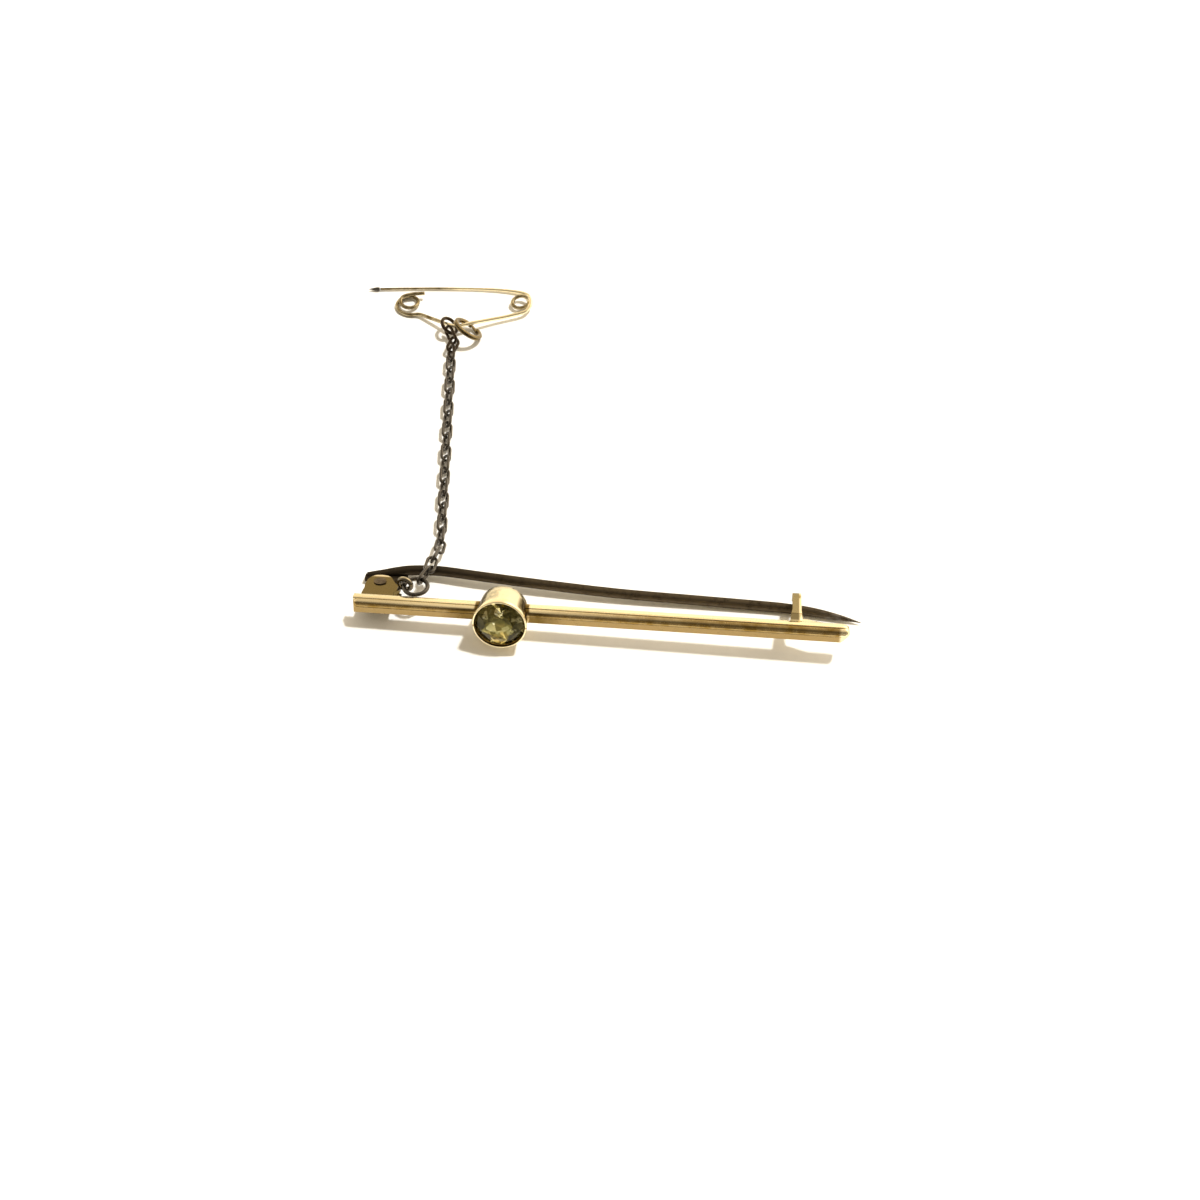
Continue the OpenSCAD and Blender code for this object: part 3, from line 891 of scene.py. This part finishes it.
def refined(node: str, name: str, weld: float = 0.002, sharp: float = 40.0) -> bpy.types.Object:
    """Copies a CAD node into a welded piece with smooth shading.

    Args:
        node: Name of the CAD node.
        name: Name of the new piece.
        weld: Points closer than this, in millimetres, become one.
        sharp: Edges steeper than this angle, in degrees, stay sharp.

    Returns:
        The new piece, which stands for the node.
    """
    mesh = bmesh.new()
    mesh.from_mesh(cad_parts[node].data)
    bmesh.ops.remove_doubles(mesh, verts=mesh.verts, dist=weld * MM)
    bmesh.ops.dissolve_degenerate(mesh, edges=mesh.edges, dist=weld * MM / 2)
    piece = finished(name, mesh, sharp)
    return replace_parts(piece, node)


@dataclass
class Brooch:
    """The gold frame with its rivet and stone.

    Args:
        materials: The finished materials.
        edge_round: Rounding asked for on the edges, in millimetres. The bevel's clamp on overlaps
            lets through only the mesh's shortest edge, about 0.002, so the edges stay sharp to the eye.
        edge_angle: The bevel takes the edges steeper than this angle, in degrees.
    """

    materials: dict[Finish, bpy.types.Material]
    edge_round: float = 0.045
    edge_angle: float = 40.0

    def build(self) -> list[bpy.types.Object]:
        """Dresses the stone, the rivet and the frame.

        Returns:
            The dressed pieces.
        """
        stone = dress(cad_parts["stone"], self.materials[Finish.STONE])
        rivet = dress(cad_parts["hinge_rivet"], self.materials[Finish.RIVET_GOLD])
        return [stone, rivet, self.build_frame()]

    def build_frame(self) -> bpy.types.Object:
        """Makes the gold frame, with a bevel as small as the clamp keeps it.

        Returns:
            The piece that stands for the frame.
        """
        piece = refined("brooch_frame", "worn_frame")
        soft = piece.modifiers.new("soft_edges", "BEVEL")
        soft.width = self.edge_round * MM
        soft.segments = 2
        soft.limit_method = "ANGLE"
        soft.angle_limit = math.radians(self.edge_angle)
        soft.use_clamp_overlap = True
        soft.harden_normals = True
        dress(piece, self.materials[Finish.GOLD])
        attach(piece, Body.BROOCH.value)
        return piece


@dataclass
class Pin:
    """The steel pin with its flattened root.

    Args:
        materials: The finished materials.
    """

    materials: dict[Finish, bpy.types.Material]

    def build(self) -> list[bpy.types.Object]:
        """Dresses the pin, with smooth shading and its solid's own shape.

        Returns:
            The piece that stands for the pin.
        """
        piece = refined("pin_stem", "steel_pin")
        dress(piece, self.materials[Finish.PIN_STEEL])
        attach(piece, Body.PIN.value)
        return [piece]


@dataclass
class SafetyChain:
    """The jump ring, the links and the end ring.

    Args:
        materials: The finished materials.
        links: Number of links.
    """

    materials: dict[Finish, bpy.types.Material]
    links: int = 23

    def build(self) -> list[bpy.types.Object]:
        """Dresses every link and ring in dark silver.

        Returns:
            The dressed pieces.
        """
        names = ["jump_ring", "chain_end_ring"] + [f"chain_link_{k + 1}" for k in range(self.links)]
        return [dress(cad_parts[name], self.materials[Finish.DARK_SILVER]) for name in names]


@dataclass
class SplitRing:
    """The gold ring of two turns on the safety pin's wire.

    Args:
        materials: The finished materials.
        middle: The ring's middle, in millimetres.
        radius: Radius to the wire's middle, in millimetres.
        lean: Lean about the Y axis, in degrees.
        turn: Turn about the vertical after the lean, in degrees.
        half_wide: Half of the flattened wire's width away from the middle, in millimetres.
        half_thick: Half of one turn's thickness, in millimetres.
        fill: Share of that thickness which the wire fills, so that the turns stay apart.
        start: Angle at which the wire starts, in radians.
        step_at: Turns from the start at which the wire steps over to its second turn.
        step_length: Length of that step, in turns.
        steps: Points in each turn.
        left_out: Points by which the second turn is short.
        sides: Points round the wire.
    """

    materials: dict[Finish, bpy.types.Material]
    middle: Spot = (-16.2065, 17.4863, 1.34)
    radius: float = 1.55
    lean: float = 42.0
    turn: float = 36.0
    half_wide: float = 0.27
    half_thick: float = 0.138
    fill: float = 0.97
    start: float = 0.6
    step_at: float = 0.9
    step_length: float = 0.2
    steps: int = 60
    left_out: int = 4
    sides: int = 14

    def section(self, turn: float, place: Matrix) -> list[Vector]:
        """Returns the wire's section at a number of turns from its start.

        Args:
            turn: Turns from the start, from 0 to 2.
            place: The ring's lean and turn.

        Returns:
            The section's points, in metres.
        """
        step_up = min(max((turn - self.step_at) / self.step_length, 0.0), 1.0)
        step_up = step_up * step_up * (3 - 2 * step_up)
        height = (2 * step_up - 1) * self.half_thick
        angle = 2 * math.pi * turn + self.start
        points = []
        for k in range(self.sides):
            a = 2 * math.pi * k / self.sides
            away = self.radius + self.half_wide * math.cos(a)
            spot = Vector((away * math.cos(angle), away * math.sin(angle),
                           height + self.half_thick * self.fill * math.sin(a)))
            points.append((Vector(self.middle) + place @ spot) * MM)
        return points

    def build(self) -> list[bpy.types.Object]:
        """Makes the ring as two turns of flattened wire that lie side by side.

        Returns:
            The piece that stands for the ring.
        """
        lean = Matrix.Rotation(math.radians(self.lean), 3, "Y")
        place = Matrix.Rotation(math.radians(self.turn), 3, "Z") @ lean
        count = 2 * self.steps - self.left_out
        piece = lofted("two_turn_ring", [self.section(i / self.steps, place) for i in range(count)])
        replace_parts(piece, "split_ring")
        dress(piece, self.materials[Finish.RING_GOLD])
        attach(piece, Body.BROOCH.value)
        return [piece]


@dataclass
class SafetyPin:
    """The small safety pin of gold wire and its steel point.

    Args:
        materials: The finished materials.
    """

    materials: dict[Finish, bpy.types.Material]

    def build(self) -> list[bpy.types.Object]:
        """Dresses the point, and the wire with smooth shading.

        Returns:
            The point and the piece that stands for the wire.
        """
        point = dress(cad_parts["safety_pin_point"], self.materials[Finish.POINT_STEEL])
        piece = refined("safety_pin", "safety_wire", sharp=60.0)
        dress(piece, self.materials[Finish.PIN_GOLD])
        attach(piece, Body.BROOCH.value)
        return [point, piece]


@dataclass
class Studio:
    """The pale floor, the light and the camera.

    Args:
        target: Where the camera looks, in millimetres.
        camera_at: Where the camera stands, in millimetres.
        lens: Focal length, in millimetres.
        roll: Turn of the camera about its view, in degrees.
        sun_travel: Direction in which the key light travels.
        sun_power: Strength of the key light.
        sun_spread: Apparent size of the key light, in degrees.
        sun_colour: Colour of the key light.
        floor_size: Side of the floor, in metres.
        floor_colour: Colour of the floor.
        floor_grain: Waves a metre of the floor's grain.
        sky: Rows of height of a direction and the sky's brightness there.
        sky_colour: Colour of the sky.
        front_share: Brightness of the sky on the camera's side, as a share.
        front_edge: Y of the directions between which the sky darkens to that side.
        window_at: Direction of the window behind.
        window_edge: Cosine of the angles off that direction at which the window starts and is full.
        window_power: Brightness of the window behind.
    """

    target: Spot = (2.31, -20.23, 3.74)
    camera_at: Spot = (11.62, -120.61, 150.43)
    lens: float = 53.13
    roll: float = -0.2285
    sun_travel: Spot = (-0.40, -0.28, -1.0)
    sun_power: float = 3.2
    sun_spread: float = 5.0
    sun_colour: Colour = (1.0, 0.99, 0.97)
    floor_size: float = 2.0
    floor_colour: Colour = (0.90, 0.89, 0.86)
    floor_grain: float = 900.0
    sky: tuple[tuple[float, float], ...] = ((0.0, 1.5), (0.3, 1.3), (0.62, 0.85), (1.0, 0.75))
    sky_colour: Colour = (1.0, 0.87, 0.67)
    front_share: float = 0.28
    front_edge: tuple[float, float] = (0.05, -0.4)
    window_at: Spot = (0.55, 0.65, 0.52)
    window_edge: tuple[float, float] = (0.86, 0.96)
    window_power: float = 1.6

    def build(self) -> None:
        """Makes the floor, the lights and the camera."""
        self.build_floor()
        self.build_light()
        self.build_sky()
        self.build_camera()
        bpy.context.scene.view_settings.view_transform = "Standard"

    def build_floor(self) -> None:
        """Makes a large pale floor with a faint paper grain."""
        mesh = bmesh.new()
        bmesh.ops.create_grid(mesh, x_segments=4, y_segments=4, size=self.floor_size / 2)
        floor = finished("pale_floor", mesh)
        material = bpy.data.materials.new("pale_paper")
        material.use_nodes = True
        graph = Graph(material.node_tree)
        shader = graph.nodes["Principled BSDF"]
        grain = graph.noise(graph.place(), self.floor_grain, 4.0)
        paler = tuple(min(c * 1.03, 1.0) for c in self.floor_colour)
        colour = graph.blend(graph.ramp(grain, 0.3, 0.7), rgba(self.floor_colour), rgba(paler))
        graph.tree.links.new(colour, shader.inputs["Base Color"])
        shader.inputs["Roughness"].default_value = 0.9
        dress(floor, material)

    def build_light(self) -> None:
        """Makes the key light."""
        light = bpy.data.lights.new("key_light", "SUN")
        light.energy = self.sun_power
        light.angle = math.radians(self.sun_spread)
        light.color = self.sun_colour
        lamp = bpy.data.objects.new("key_light", light)
        lamp.visible_glossy = False
        lamp.rotation_euler = Vector(self.sun_travel).to_track_quat("-Z", "Y").to_euler()
        bpy.context.scene.collection.objects.link(lamp)

    def build_sky(self) -> None:
        """Makes a bright horizon, a darker ceiling and a window behind to the right."""
        world = bpy.data.worlds.new("studio_sky")
        bpy.context.scene.world = world
        world.use_nodes = True
        graph = Graph(world.node_tree)
        direction = graph.add("TexCoord").outputs["Generated"]
        height = graph.add("SeparateXYZ", {0: direction}).outputs["Z"]
        ramp = graph.add("ValToRGB", {"Fac": height})
        ends = ramp.color_ramp.elements
        while len(ends) < len(self.sky):
            ends.new(0.5)
        for end, (level, value) in zip(ends, self.sky):
            end.position = level
            end.color = (value, value, value, 1.0)
        depth = graph.add("SeparateXYZ", {0: direction}).outputs["Y"]
        front = graph.ramp(depth, *self.front_edge, 1.0, self.front_share)
        dome = graph.maths("MULTIPLY", ramp.outputs["Color"], front)
        window = Vector(self.window_at).normalized()
        towards = graph.add("VectorMath", {0: direction, 1: tuple(window)},
                            operation="DOT_PRODUCT").outputs["Value"]
        glow = graph.ramp(towards, *self.window_edge, 0.0, self.window_power)
        total = graph.add("VectorMath", {0: graph.maths("ADD", dome, glow), 1: self.sky_colour},
                          operation="MULTIPLY").outputs["Vector"]
        back = graph.nodes["Background"]
        graph.tree.links.new(total, back.inputs["Color"])
        back.inputs["Strength"].default_value = 1.0

    def build_camera(self) -> None:
        """Makes the camera at the photograph's viewing angle."""
        data = bpy.data.cameras.new("photo_camera")
        data.lens = self.lens
        data.sensor_width = 36.0
        data.clip_start = 0.005
        camera = bpy.data.objects.new("photo_camera", data)
        place = Vector(self.camera_at) * MM
        look = Vector(self.target) * MM - place
        camera.location = place
        about_view = Quaternion((0, 0, 1), math.radians(self.roll))
        camera.rotation_euler = (look.to_track_quat("-Z", "Y") @ about_view).to_euler()
        bpy.context.scene.collection.objects.link(camera)
        bpy.context.scene.camera = camera


def main() -> None:
    """Builds the stage, then each sub-assembly of the brooch."""
    logging.basicConfig(level=logging.INFO)
    Studio().build()
    materials = Palette().build(SharedGroups())
    for part in (Brooch, Pin, SafetyChain, SplitRing, SafetyPin):
        for piece in part(materials).build():
            LOG.info("%s: %s", part.__name__, piece.name)


if __name__ == "__main__":
    main()
